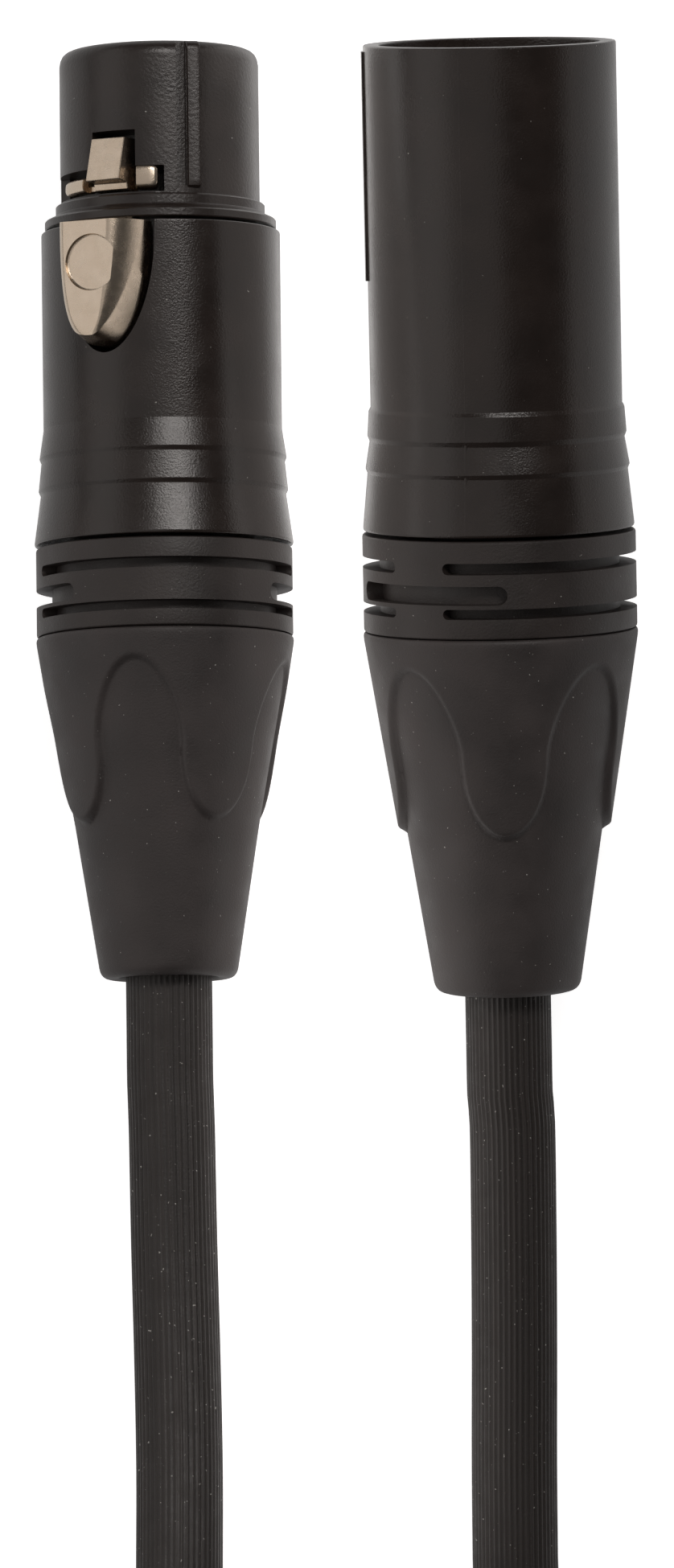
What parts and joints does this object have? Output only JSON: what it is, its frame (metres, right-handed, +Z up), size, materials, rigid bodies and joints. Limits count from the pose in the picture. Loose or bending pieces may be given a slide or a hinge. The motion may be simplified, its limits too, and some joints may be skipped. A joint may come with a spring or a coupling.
{
  "type": "xlr cable",
  "caption": "Balanced audio lead with a female and a male three-contact connector, screw-on rubber boots, a sprung latch and the spare cable laid as a tied hank.",
  "frame": {"origin": "on the surface under the middle of the two connectors' bounding box", "axes": "+Y from the boots towards the mating ends, +Z up, +X from the female connector to the male one"},
  "size_m": [0.0594, 0.2765, 0.0294],
  "materials": {
    "satin_black": "satin",
    "moulded_black": "semi-gloss",
    "collar_black": "fine texture",
    "boot_rubber": "matt",
    "inner_plastic": "matt",
    "chuck_white": "matt",
    "nickel": "warm nickel plate",
    "spring_steel": "bright",
    "silver_contact": "silver plate",
    "cable_jacket": "fine ribs along its length",
    "screen_wire": "bare copper strands",
    "core_red": "matt",
    "core_white": "matt",
    "strap_black": "hook-and-loop weave"
  },
  "bodies": {
    "lead": {"female_housing": "satin_black", "female_nose": "moulded_black", "female_socket_1": "silver_contact", "female_socket_2": "silver_contact", "female_socket_3": "silver_contact", "female_latch_pin": "spring_steel", "female_chuck": "chuck_white", "female_cable_end": "cable_jacket", "female_core_1": "screen_wire", "female_core_2": "core_red", "female_core_3": "core_white", "male_shell": "satin_black", "male_carrier": "inner_plastic", "male_pin_1": "silver_contact", "male_pin_2": "silver_contact", "male_pin_3": "silver_contact", "male_chuck": "chuck_white", "male_cable_end": "cable_jacket", "male_core_1": "screen_wire", "male_core_2": "core_red", "male_core_3": "core_white", "cable_tail_female": "cable_jacket", "cable_tail_male": "cable_jacket", "cable_hank": "cable_jacket", "cable_tie": "strap_black"},
    "latch": {"female_latch": "nickel", "female_latch_spring": "spring_steel"},
    "female_collar": {"female_collar": "collar_black"},
    "female_boot": {"female_boot": "boot_rubber", "female_boot_nut": "inner_plastic"},
    "male_collar": {"male_collar": "collar_black"},
    "male_boot": {"male_boot": "boot_rubber", "male_boot_nut": "inner_plastic"}
  },
  "joints": [
    {"name": "latch_press", "type": "hinge", "parent": "lead", "child": "latch", "pos_m": [-0.01623, 0.01353, 0.01514], "axis": [-0.8873, -0.0505, -0.4585], "range_deg": [0, 5.5], "stiffness_Nm_per_rad": 0.25, "springref_deg": -8.59},
    {"name": "female_collar_slide", "type": "slide", "parent": "lead", "child": "female_collar", "axis": [0.0125, -0.9963, 0.0854], "range_m": [0, 0.0061]},
    {"name": "female_boot_turn", "type": "hinge", "parent": "female_collar", "child": "female_boot", "pos_m": [-0.01318, -0.0094, 0.01176], "axis": [0.0125, -0.9963, 0.0854], "range_deg": [0, 1440]},
    {"name": "male_collar_slide", "type": "slide", "parent": "lead", "child": "male_collar", "axis": [0.021, -0.9947, -0.1011], "range_m": [0, 0.0061]},
    {"name": "male_boot_turn", "type": "hinge", "parent": "male_collar", "child": "male_boot", "pos_m": [0.01256, -0.00892, 0.01055], "axis": [0.021, -0.9947, -0.1011], "range_deg": [0, 1440]}
  ],
  "couplings": [
    {"joint": "female_collar_slide", "follows": "female_boot_turn", "m_per_rad": 0.00023873},
    {"joint": "male_collar_slide", "follows": "male_boot_turn", "m_per_rad": 0.00023873}
  ]
}
